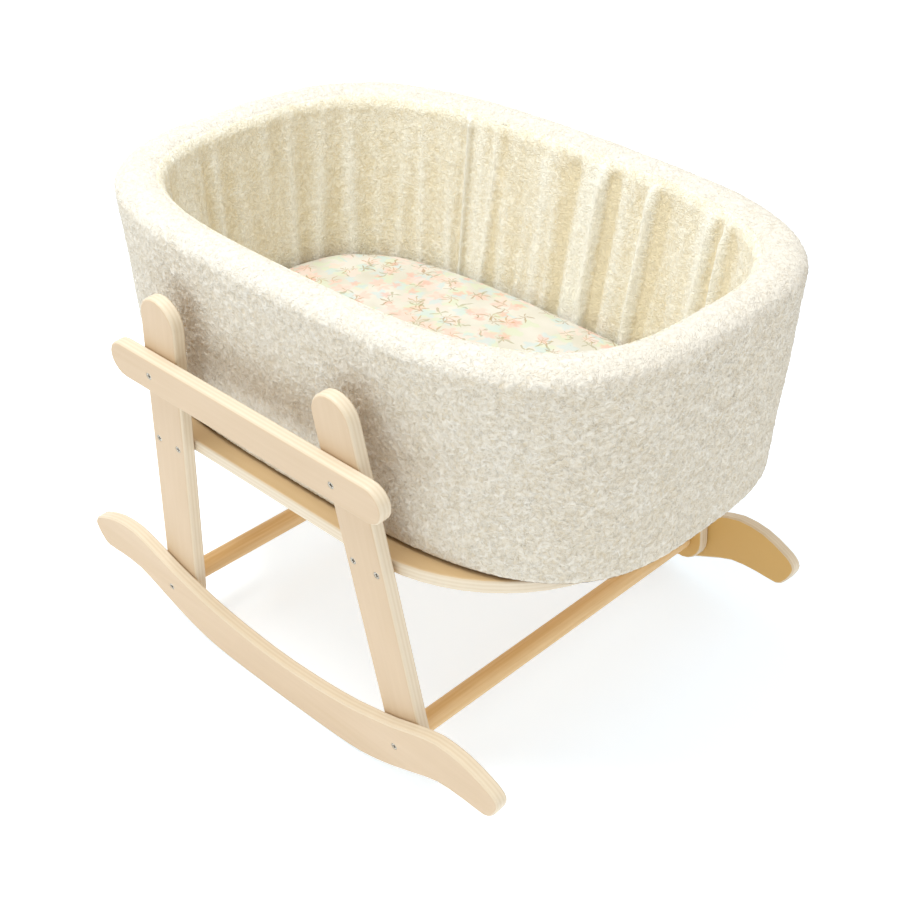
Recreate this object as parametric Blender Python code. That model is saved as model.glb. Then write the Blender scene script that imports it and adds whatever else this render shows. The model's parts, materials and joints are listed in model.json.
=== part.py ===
"""Rocking bassinet: a padded oval basket that lifts off a screwed plywood rocking stand.

Metres, +Z up, floor at Z = 0. X runs along the bassinet (foot end +X), Y across it.
Side names: _l is the -Y side, _r the +Y side. End names: head is -X, foot is +X.

Each side of the stand is a flat frame: two legs inside, a rail and a rocker screwed to their
outer faces. The frame is drawn flat and then leant outward about the base board's level, so a
point of it is (x, w, off): w is the distance up the leaning plane from the base board, and off
the distance outward from the legs' inner faces.
"""
import bpy
import bmesh
import numpy as np
from math import cos, pi, radians, sin, tan
from mathutils import Matrix, Vector

# ---------------------------------------------------------------- driving dimensions
PLY = 0.018                 # thickness of every flat board
CLEAR = 0.0003              # gap left between separate pieces
SOFT_GAP = 0.0008           # the same between the basket's faceted layers
EDGE = 0.0022               # chamfer that stands in for the sanded edges

FRAME_LEAN = 5.3            # degrees that each side frame leans outward
HALF_GAP = 0.293            # centre line to the legs' inner faces, at the base board
BOARD_DROP = 0.3190         # base board down to the rockers' low point, along the frame

LEG_WIDTH = 0.062
LEG_X = 0.1785              # leg centre line where it crosses the base board
LEG_SPLAY = 0.150           # sideways run of a leg per metre of drop
LEG_RISE = 0.2225           # base board up to the rounded top of a leg

RAIL_LENGTH = 0.475
RAIL_HEIGHT = 0.050
RAIL_RISE = 0.1210          # base board up to the rail's centre line

ROCKER_LENGTH = 0.770
ROCKER_SCREW_DROP = 0.2526  # base board down to the rocker screws and the stretchers
# rocker outline, end half: (fraction of half length, underside, top edge) above the low point
ROCKER_STATIONS = (
    (0.050, 0.0000, 0.0668), (0.200, 0.0010, 0.0708), (0.340, 0.0038, 0.0783),
    (0.440, 0.0112, 0.0875), (0.545, 0.0248, 0.0990), (0.650, 0.0420, 0.1143),
    (0.750, 0.0572, 0.1258), (0.855, 0.0592, 0.1232), (0.940, 0.0575, 0.1110),
)
ROCKER_TIP = ((0.972, 0.0655), (0.993, 0.0790), (1.000, 0.0920), (0.980, 0.1025))

STRETCHER_D = 0.028

BOARD_LENGTH = 0.760
BOARD_CORNER = 0.2175       # plan radius of the base board's corners

SCREW_HEAD_R = 0.0046
SCREW_SHANK_R = 0.0021
RAIL_SCREW = 0.032          # screw lengths
BOARD_SCREW = 0.050
ROCKER_SCREW = 0.070
BOARD_SCREW_PITCH = 0.038

BASKET_LENGTH = 0.853       # over the rim
BASKET_SQUARENESS = 3.2     # exponent of the oval plan; 2 is an ellipse
SIDE_ROOM = 0.0235          # legs' inner face to the basket's side, at the base board
SIDE_FLARE = 0.0985         # outward run of the long sides per metre of height
END_FLARE = 0.031           # the same for the two ends
WALL = 0.055                # padded wall, outside to inside
RIM_MID = 0.2593            # basket's underside to where the rim starts to roll over
RIM_ROLL = 0.022            # height of the rolled rim above that
HEM_DROP = 0.006            # how far the cover turns down inside, below the rim's roll
COVER = 0.005               # outer cover's thickness, pile included
LINING = 0.004
FLOOR_PANEL = 0.008
FOOT_ROUND = 0.018          # rounding along the basket's bottom edge
MATTRESS = 0.037
MATTRESS_ROOM = 0.003       # gap between mattress and lining
LINING_FOLDS = 36
FOLD_DEPTH = 0.0022

OVAL_STEPS = 72             # facets around the basket
WALL_STEPS = 4              # facets up its wall
ROUND = 16                  # facets around screws, bores and stretchers

# ---------------------------------------------------------------- derived dimensions
LEAN = radians(FRAME_LEAN)
BOARD_Z = BOARD_DROP * cos(LEAN) + (2 * PLY + CLEAR) * sin(LEAN)
RAIL_X = LEG_X - LEG_SPLAY * RAIL_RISE
ROCKER_X = LEG_X + LEG_SPLAY * ROCKER_SCREW_DROP
BASKET_Z = BOARD_Z + PLY / 2 + CLEAR
SIDE_HALF = HALF_GAP - SIDE_ROOM                       # basket half width at its underside
END_HALF = BASKET_LENGTH / 2 - END_FLARE * RIM_MID     # basket half length there

SIDES = (("l", -1), ("r", 1))
ENDS = (("head", -1), ("foot", 1))

for old in list(bpy.data.objects):
    bpy.data.objects.remove(old, do_unlink=True)

# ---------------------------------------------------------------- materials


def material(name, colour, rough, metal=0.0):
    mat = bpy.data.materials.new(name)
    mat.use_nodes = True
    shader = mat.node_tree.nodes["Principled BSDF"]
    shader.inputs["Base Color"].default_value = (*colour, 1.0)
    shader.inputs["Roughness"].default_value = rough
    shader.inputs["Metallic"].default_value = metal
    return mat


PLYWOOD = ("ply", (0.78, 0.61, 0.41), 0.55, 0.0)
DOWEL = ("dowel", (0.74, 0.54, 0.31), 0.55, 0.0)
ZINC = ("zinc", (0.62, 0.62, 0.60), 0.30, 1.0)
BOUCLE = ("boucle", (0.83, 0.77, 0.67), 0.95, 0.0)
TEDDY = ("teddy", (0.80, 0.70, 0.50), 0.95, 0.0)
FOAM = ("foam", (0.90, 0.88, 0.80), 0.90, 0.0)
HARDBOARD = ("hardboard", (0.60, 0.47, 0.32), 0.70, 0.0)
PRINT = ("print", (0.84, 0.78, 0.68), 0.85, 0.0)

# ---------------------------------------------------------------- mesh helpers


def solid(name, verts, faces, look, parent=None):
    """Make one closed object with its own material, faces turned outward."""
    mesh = bpy.data.meshes.new(name)
    mesh.from_pydata([tuple(v) for v in verts], [], faces)
    bm = bmesh.new()
    bm.from_mesh(mesh)
    bmesh.ops.recalc_face_normals(bm, faces=bm.faces)
    bm.to_mesh(mesh)
    bm.free()
    mesh.materials.append(material(name + "_" + look[0], *look[1:]))
    obj = bpy.data.objects.new(name, mesh)
    bpy.context.scene.collection.objects.link(obj)
    if parent is not None:
        obj.parent = parent
    return obj


def stack(loops, close=False):
    """Faces that join equal loops of vertices, capped at both ends or closed on itself."""
    n = len(loops[0])
    verts = [v for loop in loops for v in loop]
    faces = []
    levels = len(loops)
    for i in range(levels if close else levels - 1):
        a, b = i * n, ((i + 1) % levels) * n
        for k in range(n):
            j = (k + 1) % n
            faces.append((a + k, a + j, b + j, b + k))
    if not close:
        faces.append(tuple(range(n)))
        faces.append(tuple((levels - 1) * n + k for k in range(n)))
    return verts, faces


def inset(outline, amount):
    """Move a counter-clockwise outline inward by amount."""
    pts = [Vector(p) for p in outline]
    out = []
    for i, p in enumerate(pts):
        a = (p - pts[i - 1]).normalized()
        b = (pts[(i + 1) % len(pts)] - p).normalized()
        na, nb = Vector((-a.y, a.x)), Vector((-b.y, b.x))
        step = (na + nb).normalized()
        out.append(tuple(p + step * (amount / max(step.dot(na), 0.4))))
    return out


def frame_matrix(side):
    """Frame coordinates (x, w, off) to the bassinet's, for one side."""
    return Matrix((
        (1, 0, 0, 0),
        (0, side * sin(LEAN), side * cos(LEAN), side * HALF_GAP),
        (0, cos(LEAN), -sin(LEAN), BOARD_Z),
        (0, 0, 0, 1),
    ))


def board_loops(outline, low, high):
    """Four loops of a flat board with chamfered edges; outline is in the board's plane."""
    small = inset(outline, EDGE)
    return [[(p[0], p[1], h) for p in shape] for shape, h in
            ((small, low), (outline, low + EDGE), (outline, high - EDGE), (small, high))]


def frame_board(name, outline, low, high, side):
    verts, faces = stack(board_loops(outline, low, high))
    place = frame_matrix(side)
    return solid(name, [place @ Vector(v) for v in verts], faces, PLYWOOD)


def lathe(profile, place, steps=ROUND):
    """Turn (radius, height) stations about local Z and place the result."""
    loops = []
    for r, h in profile:
        loops.append([place @ Vector((r * cos(2 * pi * k / steps), r * sin(2 * pi * k / steps), h))
                      for k in range(steps)])
    return stack(loops)


def arc(cx, cy, r, start, stop, steps):
    return [(cx + r * cos(start + (stop - start) * i / steps),
             cy + r * sin(start + (stop - start) * i / steps)) for i in range(steps + 1)]


def bar_outline(a, b, width, steps=10):
    """Bar with half-round ends about the points a and b, counter-clockwise."""
    turn = Vector((b[0] - a[0], b[1] - a[1]))
    heading = Vector((1, 0)).angle_signed(turn)
    base = -heading
    return (arc(b[0], b[1], width / 2, base - pi / 2, base + pi / 2, steps)
            + arc(a[0], a[1], width / 2, base + pi / 2, base + 3 * pi / 2, steps))


def smooth_path(points, per_span):
    """Catmull-Rom curve through an open list of points."""
    pts = [np.array(p, float) for p in points]
    pts = [2 * pts[0] - pts[1]] + pts + [2 * pts[-1] - pts[-2]]
    out = []
    for i in range(1, len(pts) - 2):
        p0, p1, p2, p3 = pts[i - 1:i + 3]
        for k in range(per_span):
            t = k / per_span
            out.append(0.5 * (2 * p1 + (p2 - p0) * t + (2 * p0 - 5 * p1 + 4 * p2 - p3) * t ** 2
                              + (3 * p1 - p0 - 3 * p2 + p3) * t ** 3))
    out.append(pts[-2])
    return [tuple(p) for p in out]


# ---------------------------------------------------------------- screws and their bores


def screw_place(side, x, w, off):
    """Local +Z points out of the frame's outer face, so the screw runs down -Z."""
    return frame_matrix(side) @ Matrix.Translation((x, w, off))


def screw(name, side, x, w, off, length):
    """Countersunk cross-head screw; its head lies a hair under the face at off."""
    place = screw_place(side, x, w, off - CLEAR)
    neck = SCREW_HEAD_R - SCREW_SHANK_R
    profile = [(0.0004, -length), (SCREW_SHANK_R, -length + 0.005), (SCREW_SHANK_R, -neck - 0.0004),
               (SCREW_HEAD_R, -0.0004), (SCREW_HEAD_R, 0.0)]
    verts, faces = lathe(profile, place)
    faces.pop()                                     # the head's face is built around the cross
    first = (len(profile) - 1) * ROUND
    arm, half, deep = SCREW_HEAD_R * 0.62, SCREW_HEAD_R * 0.166, SCREW_HEAD_R * 0.40
    cross = []
    for q in range(4):
        spin = Matrix.Rotation(q * pi / 2, 2)
        cross += [spin @ Vector(p) for p in ((arm, -half), (arm, half), (half, half))]
    top, low = len(verts), len(verts) + 12
    verts += [place @ Vector((p.x, p.y, 0)) for p in cross]
    verts += [place @ Vector((p.x * 0.7, p.y * 0.7, -deep)) for p in cross]
    rim = [first + k for k in range(ROUND)]
    for q in range(4):
        s = q * ROUND // 4
        a, b, c = top + 3 * q, top + 3 * q + 1, top + 3 * q + 2
        after = top + (3 * q + 3) % 12
        faces.append((rim[(s - 1) % ROUND], rim[s], rim[s + 1], b, a))
        faces.append((rim[s + 1], rim[s + 2], c, b))
        faces.append((rim[s + 2], rim[s + 3], after, c))
    for k in range(12):
        j = (k + 1) % 12
        faces.append((top + k, top + j, low + j, low + k))
    faces.append(tuple(low + k for k in range(12)))
    return solid(name, verts, faces, ZINC)


def bore(side, x, w, off, length, head=True):
    """The hole a screw goes in: verts and faces of its cutter."""
    place = screw_place(side, x, w, off)
    r = SCREW_SHANK_R + CLEAR
    wide = SCREW_HEAD_R + CLEAR
    profile = [(r, -length - 0.001), (r, -(wide - r) - 0.0009)]
    profile += [(wide, -0.0009), (wide, 0.002)] if head else [(r, 0.002)]
    return lathe(profile, place)


def drill(obj, bores):
    """Cut bores out of obj with one hidden cutter."""
    verts, faces = [], []
    for v, f in bores:
        faces += [tuple(i + len(verts) for i in face) for face in f]
        verts += v
    mesh = bpy.data.meshes.new(obj.name + "_bores")
    mesh.from_pydata([tuple(v) for v in verts], [], faces)
    bm = bmesh.new()
    bm.from_mesh(mesh)
    bmesh.ops.recalc_face_normals(bm, faces=bm.faces)
    bm.to_mesh(mesh)
    bm.free()
    cutter = bpy.data.objects.new(obj.name + "_bores", mesh)
    bpy.context.scene.collection.objects.link(cutter)
    cutter.hide_render = True
    cutter.display_type = "WIRE"
    cut = obj.modifiers.new("bores", "BOOLEAN")
    cut.operation = "DIFFERENCE"
    cut.solver = "EXACT"
    cut.object = cutter


# ---------------------------------------------------------------- stand

OUTER = 2 * PLY + CLEAR                      # outer face of rails and rockers
BOARD_SCREWS_X = (LEG_X - BOARD_SCREW_PITCH / 2, LEG_X + BOARD_SCREW_PITCH / 2)


def rocker_outline():
    """Counter-clockwise outline of a rocker in frame coordinates."""
    half = ROCKER_LENGTH / 2
    under = [(f * half, lo) for f, lo, hi in ROCKER_STATIONS]
    tip = [(f * half, h) for f, h in ROCKER_TIP]
    over = [(f * half, hi) for f, lo, hi in reversed(ROCKER_STATIONS)]
    right = smooth_path(under + tip + over, 2)
    left = [(-x, h) for x, h in reversed(right)]
    return [(x, h - BOARD_DROP) for x, h in right + left]


board_bores, stretcher_bores = [], {"head": [], "foot": []}
for s, side in SIDES:
    rail_bores, rocker_bores = [], []
    for e, end in ENDS:
        top_w = LEG_RISE - LEG_WIDTH / 2
        leg = frame_board(
            f"leg_{s}_{e}",
            bar_outline((end * (LEG_X + LEG_SPLAY * ROCKER_SCREW_DROP), -ROCKER_SCREW_DROP),
                        (end * (LEG_X - LEG_SPLAY * top_w), top_w), LEG_WIDTH),
            0.0, PLY, side)
        rail_hole = (side, end * RAIL_X, RAIL_RISE, OUTER, RAIL_SCREW)
        rocker_hole = (side, end * ROCKER_X, -ROCKER_SCREW_DROP, OUTER, ROCKER_SCREW)
        leg_bores = [bore(*rail_hole, head=False), bore(*rocker_hole, head=False)]
        for place, bx in zip(("inner", "outer"), BOARD_SCREWS_X):
            hole = (side, end * bx, 0.0, PLY, BOARD_SCREW)
            leg_bores.append(bore(*hole))
            board_bores.append(bore(*hole, head=False))
            screw(f"board_screw_{s}_{e}_{place}", *hole)
        drill(leg, leg_bores)
        rail_bores.append(bore(*rail_hole))
        rocker_bores.append(bore(*rocker_hole))
        stretcher_bores[e].append(bore(*rocker_hole, head=False))
        screw(f"rail_screw_{s}_{e}", *rail_hole)
        screw(f"rocker_screw_{s}_{e}", *rocker_hole)
    reach = RAIL_LENGTH / 2 - RAIL_HEIGHT / 2
    rail = frame_board(f"rail_{s}", bar_outline((-reach, RAIL_RISE), (reach, RAIL_RISE), RAIL_HEIGHT),
                       PLY + CLEAR, OUTER, side)
    drill(rail, rail_bores)
    rocker = frame_board(f"rocker_{s}", rocker_outline(), PLY + CLEAR, OUTER, side)
    drill(rocker, rocker_bores)

# base board: a long oval held by its edges between the legs
half_w = HALF_GAP - PLY / 2 * tan(LEAN) - CLEAR
cx, cy = BOARD_LENGTH / 2 - BOARD_CORNER, half_w - BOARD_CORNER
plan = (arc(cx, cy, BOARD_CORNER, 0, pi / 2, 14) + arc(-cx, cy, BOARD_CORNER, pi / 2, pi, 14)
        + arc(-cx, -cy, BOARD_CORNER, pi, 3 * pi / 2, 14) + arc(cx, -cy, BOARD_CORNER, 3 * pi / 2, 2 * pi, 14))
verts, faces = stack(board_loops(plan, BOARD_Z - PLY / 2, BOARD_Z + PLY / 2))
drill(solid("base_board", verts, faces, PLYWOOD), board_bores)

# two round stretchers between the legs, ends cut to the frames' lean
for e, end in ENDS:
    axis_z = BOARD_Z - ROCKER_SCREW_DROP * cos(LEAN)
    axis_y = HALF_GAP - ROCKER_SCREW_DROP * sin(LEAN) - CLEAR / cos(LEAN)
    loops = []
    for rim_r, back, side in ((STRETCHER_D / 2 - 0.001, 0.0, -1), (STRETCHER_D / 2, 0.001, -1),
                              (STRETCHER_D / 2, 0.001, 1), (STRETCHER_D / 2 - 0.001, 0.0, 1)):
        loop = []
        for k in range(ROUND):
            a = 2 * pi * k / ROUND
            dz = rim_r * sin(a)
            y = side * (axis_y - back + dz * tan(LEAN))
            loop.append((end * ROCKER_X + rim_r * cos(a), y, axis_z + dz))
        loops.append(loop)
    verts, faces = stack(loops)
    drill(solid(f"stretcher_{e}", verts, faces, DOWEL), stretcher_bores[e])

# ---------------------------------------------------------------- basket

# one unit oval, stepped evenly along the rim, serves every ring of the basket
t = np.linspace(0, 2 * pi, 4001)
power = 2 / BASKET_SQUARENESS
unit = np.stack([np.sign(np.cos(t)) * np.abs(np.cos(t)) ** power,
                 np.sign(np.sin(t)) * np.abs(np.sin(t)) ** power], 1)
run = np.hypot(*np.diff(unit * (BASKET_LENGTH / 2, SIDE_HALF), axis=0).T)
run = np.concatenate([[0], np.cumsum(run)])


def oval(steps):
    at = np.linspace(0, run[-1], steps, endpoint=False)
    return np.stack([np.interp(at, run, unit[:, 0]), np.interp(at, run, unit[:, 1])], 1)


def ring(inward, height, steps=OVAL_STEPS, ripple=None):
    """One loop of the basket: inward from its outer face, height above its underside."""
    uv = oval(steps)
    depth = np.full(steps, float(inward)) if ripple is None else inward + ripple
    rx = END_HALF + END_FLARE * height - depth
    ry = SIDE_HALF + SIDE_FLARE * height - depth
    return [(float(x * u), float(y * v), BASKET_Z + height) for (u, v), x, y in zip(uv, rx, ry)]


basket = bpy.data.objects.new("basket", None)
bpy.context.scene.collection.objects.link(basket)
mattress_body = bpy.data.objects.new("mattress_body", None)
bpy.context.scene.collection.objects.link(mattress_body)
mattress_body.parent = basket


def roll(half, rise, steps):
    """Half-round stations over the rim: (inward, height) from outside to inside."""
    return [(WALL / 2 - half * cos(pi * i / steps), RIM_MID + rise * sin(pi * i / steps))
            for i in range(steps + 1)]


def foot(back, steps):
    """Rounded bottom edge, from the underside out to the wall."""
    r = FOOT_ROUND - back
    return [(FOOT_ROUND - r * sin(pi / 2 * i / steps), FOOT_ROUND - r * cos(pi / 2 * i / steps))
            for i in range(steps + 1)]


def rise(inward, low, high):
    """Stations between two heights of a wall, without the two ends."""
    return [(inward, low + (high - low) * i / WALL_STEPS) for i in range(1, WALL_STEPS)]


# outer cover: under the floor, up the wall, over the rim and down inside it to a hem
skin_out = (foot(0.0, 3) + rise(0.0, FOOT_ROUND, RIM_MID) + roll(WALL / 2, RIM_ROLL, 8)
            + [(WALL, RIM_MID - HEM_DROP)])
skin_in = (foot(COVER, 3) + rise(COVER, FOOT_ROUND, RIM_MID)
           + roll(WALL / 2 - COVER, RIM_ROLL - COVER, 8) + [(WALL - COVER, RIM_MID - HEM_DROP)])
verts, faces = stack([ring(*p) for p in skin_out + skin_in[::-1]])
solid("outer_cover", verts, faces, BOUCLE, basket)


def inside_cover(height):
    """Inward distance of the cover's inner face at a height, with room for its facets."""
    r, d = FOOT_ROUND - COVER, max(0.0, FOOT_ROUND - height)
    return FOOT_ROUND - max(0.0, r * r - d * d) ** 0.5 + SOFT_GAP + 0.0004


# floor panel inside the bottom of the cover
panel_low = COVER + CLEAR
panel_top = panel_low + FLOOR_PANEL
verts, faces = stack([ring(FOOT_ROUND, panel_low),
                      ring(inside_cover(panel_low + 0.4 * FLOOR_PANEL), panel_low + 0.4 * FLOOR_PANEL),
                      ring(inside_cover(panel_low + 0.4 * FLOOR_PANEL), panel_top)])
solid("basket_floor", verts, faces, HARDBOARD, basket)

# wall padding, standing on the panel inside the cover; its roll fills the cover's roll
pad_low = panel_top + CLEAR
pad_out, pad_in = COVER + SOFT_GAP, WALL - COVER - SOFT_GAP
pad_knee = max(FOOT_ROUND, pad_low) + 0.004
hem = RIM_MID - HEM_DROP
pad = ([(pad_in, pad_low), (inside_cover(pad_low), pad_low), (pad_out, pad_knee)]
       + rise(pad_out, pad_knee, RIM_MID)
       + roll(WALL / 2 - COVER - SOFT_GAP, RIM_ROLL - COVER - SOFT_GAP, 8)
       + rise(pad_in, hem, pad_low))
verts, faces = stack([ring(*p) for p in pad], close=True)
solid("wall_pad", verts, faces, FOAM, basket)

# gathered lining, tucked under the hem
fold_steps = LINING_FOLDS * 4
phase = 2 * pi * LINING_FOLDS * np.arange(fold_steps) / fold_steps
wave = FOLD_DEPTH * (0.5 + 0.5 * np.cos(phase + 0.6 * np.sin(phase / 2)))
lining_back, lining_top = WALL - COVER + SOFT_GAP, hem - SOFT_GAP
lining_face = lining_back + LINING
back = [(lining_back, pad_low)] + rise(lining_back, pad_low, lining_top) + [(lining_back, lining_top)]
loops = [ring(i, h, fold_steps) for i, h in back]
loops += [ring(lining_face, h, fold_steps, wave * (1 - 0.4 * (h - pad_low) / (lining_top - pad_low)))
          for i, h in reversed(back)]
verts, faces = stack(loops, close=True)
solid("lining", verts, faces, TEDDY, basket)

# mattress on the floor panel, its sides following the lining
room = lining_face + FOLD_DEPTH + MATTRESS_ROOM
mat_profile = [(room + 0.010, 0.0), (room + 0.0015, 0.0045), (room, 0.5 * MATTRESS),
               (room + 0.0015, MATTRESS - 0.0065), (room + 0.007, MATTRESS - 0.002),
               (room + 0.020, MATTRESS)]
verts, faces = stack([ring(i, pad_low + h) for i, h in mat_profile])
solid("mattress", verts, faces, PRINT, mattress_body)
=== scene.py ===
# %% [markdown]
# # A padded bassinet on a plywood rocking stand
# The real object is two things that come apart: a soft oval basket, covered in curly cream boucle and lined
# with teddy fabric, and a screwed birch plywood stand on rockers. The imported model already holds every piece
# at its true size, so this lesson starts from it and makes the looks: sanded edges and wood figure on the
# stand, pile on the cover, gathers in the lining, and a stuffed, printed mattress.

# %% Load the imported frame
import json
from math import cos, pi, radians, sin

import bmesh
import bpy
import numpy as np
from mathutils import Matrix, Vector, noise


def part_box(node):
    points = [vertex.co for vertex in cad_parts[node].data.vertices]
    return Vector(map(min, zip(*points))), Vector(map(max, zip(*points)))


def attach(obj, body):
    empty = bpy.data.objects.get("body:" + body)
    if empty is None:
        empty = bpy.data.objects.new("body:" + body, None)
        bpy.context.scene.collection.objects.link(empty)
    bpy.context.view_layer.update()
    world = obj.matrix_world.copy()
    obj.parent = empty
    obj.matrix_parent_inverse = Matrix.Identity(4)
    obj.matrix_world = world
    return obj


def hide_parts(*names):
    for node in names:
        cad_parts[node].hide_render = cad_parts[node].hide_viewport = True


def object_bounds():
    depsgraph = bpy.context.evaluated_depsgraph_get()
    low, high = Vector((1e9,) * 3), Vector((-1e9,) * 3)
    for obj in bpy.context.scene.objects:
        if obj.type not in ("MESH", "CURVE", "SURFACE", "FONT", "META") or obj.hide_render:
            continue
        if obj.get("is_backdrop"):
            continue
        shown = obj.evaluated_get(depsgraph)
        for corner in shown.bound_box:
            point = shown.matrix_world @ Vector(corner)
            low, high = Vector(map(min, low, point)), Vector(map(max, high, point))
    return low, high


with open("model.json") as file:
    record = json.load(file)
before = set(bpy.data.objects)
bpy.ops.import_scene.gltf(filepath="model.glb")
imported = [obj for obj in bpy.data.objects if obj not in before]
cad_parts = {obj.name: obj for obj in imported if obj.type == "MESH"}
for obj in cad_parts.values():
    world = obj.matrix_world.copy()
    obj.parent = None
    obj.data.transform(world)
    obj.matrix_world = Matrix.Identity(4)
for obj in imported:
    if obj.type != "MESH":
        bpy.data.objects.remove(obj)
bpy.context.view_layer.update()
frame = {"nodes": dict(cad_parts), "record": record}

# %% [markdown]
# ## Camera
# The camera comes first, because every finish below is judged through it. It stands at a grown-up's eye
# level, looks down at the near left corner, and is turned by less than a degree. Its place is given as the
# distance from the middle of the base board, so that it follows the model.

# %% Camera
LOOK_FROM = Vector((1.1613, -1.2089, 1.0474))
LOOK_AZIMUTH, LOOK_DOWN, LOOK_ROLL = radians(43.54), radians(33.79), radians(0.68)
LENS_MM = 60.38

board_low, board_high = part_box("base_board")
board_middle = (board_low + board_high) / 2
camera_data = bpy.data.cameras.new("camera")
camera_data.lens = LENS_MM
camera_data.sensor_width = 36.0
camera = bpy.data.objects.new("camera", camera_data)
bpy.context.scene.collection.objects.link(camera)
camera.matrix_world = (Matrix.Translation(board_middle + LOOK_FROM)
                       @ Matrix.Rotation(LOOK_AZIMUTH, 4, "Z")
                       @ Matrix.Rotation(pi / 2 - LOOK_DOWN, 4, "X")
                       @ Matrix.Rotation(LOOK_ROLL, 4, "Z"))
bpy.context.scene.camera = camera
print("camera", round((camera.location - board_middle).length, 2), "m from the board")

# %% [markdown]
# ## Nodes without the clicking
# A material here is a short list of nodes. `Finish` wraps one material and adds a node by its type, with
# plain values set on its sockets and links made from other nodes' outputs.


# %% A small helper for materials
class Finish:
    """One material, with short ways to add nodes and to link them."""

    def __init__(self, name, roughness, metallic=0.0):
        self.mat = bpy.data.materials.new(name)
        self.mat.use_nodes = True
        self.shader = self.mat.node_tree.nodes["Principled BSDF"]
        self.shader.inputs["Roughness"].default_value = roughness
        self.shader.inputs["Metallic"].default_value = metallic

    def add(self, kind, sockets=None, **settings):
        """Adds a node: sockets maps an input's name or number to a value or to an output to link."""
        made = self.mat.node_tree.nodes.new("ShaderNode" + kind)
        for key, value in settings.items():
            setattr(made, key, value)
        for key, value in (sockets or {}).items():
            self.put(made.inputs[key], value)
        return made

    def put(self, socket, value):
        """Links an output into a socket, or sets the socket's own value."""
        if isinstance(value, bpy.types.NodeSocket):
            self.mat.node_tree.links.new(value, socket)
        else:
            socket.default_value = value

    def math(self, operation, a, b=0.0, clamp=False):
        return self.add("Math", {0: a, 1: b}, operation=operation, use_clamp=clamp).outputs[0]

    def noise(self, where, scale, detail=2.0, roughness=0.5, distortion=0.0):
        made = self.add("TexNoise", {"Vector": where, "Scale": scale, "Detail": detail,
                                     "Roughness": roughness, "Distortion": distortion})
        return made.outputs["Fac"]

    def ramp(self, factor, low, high, start=0.0, stop=1.0):
        """Blends the colour low into the colour high as factor goes from start to stop."""
        share = self.add("MapRange", {0: factor, 1: start, 2: stop}).outputs[0]
        return self.mix(share, low, high)

    def mix(self, share, a, b):
        made = self.add("Mix", {0: share}, data_type="RGBA")
        for socket, value in ((made.inputs[6], a), (made.inputs[7], b)):
            self.put(socket, value if isinstance(value, bpy.types.NodeSocket) else (*value, 1.0))
        return made.outputs[2]

    def colour(self, value):
        self.put(self.shader.inputs["Base Color"], value)

    def bump(self, height, depth, strength=1.0):
        made = self.add("Bump", {"Height": height, "Distance": depth, "Strength": strength})
        self.put(self.shader.inputs["Normal"], made.outputs[0])

    def place(self):
        return self.add("TexCoord").outputs["Object"]


# %% [markdown]
# ## Birch plywood
# A plywood board shows two faces of one veneer, whose figure runs along the board, and edges that show the
# stack of veneers as fine lines, paler than the faces. So the finish needs to know which way each board lies:
# `along` is the way its figure runs and `through` the way its veneers are stacked. The pattern is stretched
# along the first, and the edge lines are counted along the second. The faces that look inward get a deeper
# gold as painted shade, standing for the shade and warm bounce light under the basket. That gold is mixed in by
# the way a face looks, as much as the outer and inner shares say. The wood is sealed, so it has a soft low
# gloss.

# %% Plywood finish
PLY = (board_high - board_low).z
VENEERS = 7
BIRCH_LIGHT, BIRCH_DARK = (0.63, 0.47, 0.31), (0.57, 0.41, 0.25)
# The gold below is painted shade, laid on faces that look inward, which sit in shade and warm bounce under the
# basket.
SHADE_GOLD = (0.66, 0.41, 0.12)
EDGE_LIGHT, EDGE_DARK = (0.74, 0.63, 0.48), (0.67, 0.55, 0.39)
# Pattern repeats to a metre, along the figure, across it and through the board.
CLOUDS, STREAKS, FIBRES = (2.2, 16.0, 2.0), (5.0, 130.0, 8.0), (40.0, 900.0, 900.0)
WOOD_ROUGHNESS = (0.40, 0.55)
GRAIN_DEPTH = 0.00012
FACE_FROM, FACE_TO = 0.70, 0.93


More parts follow.
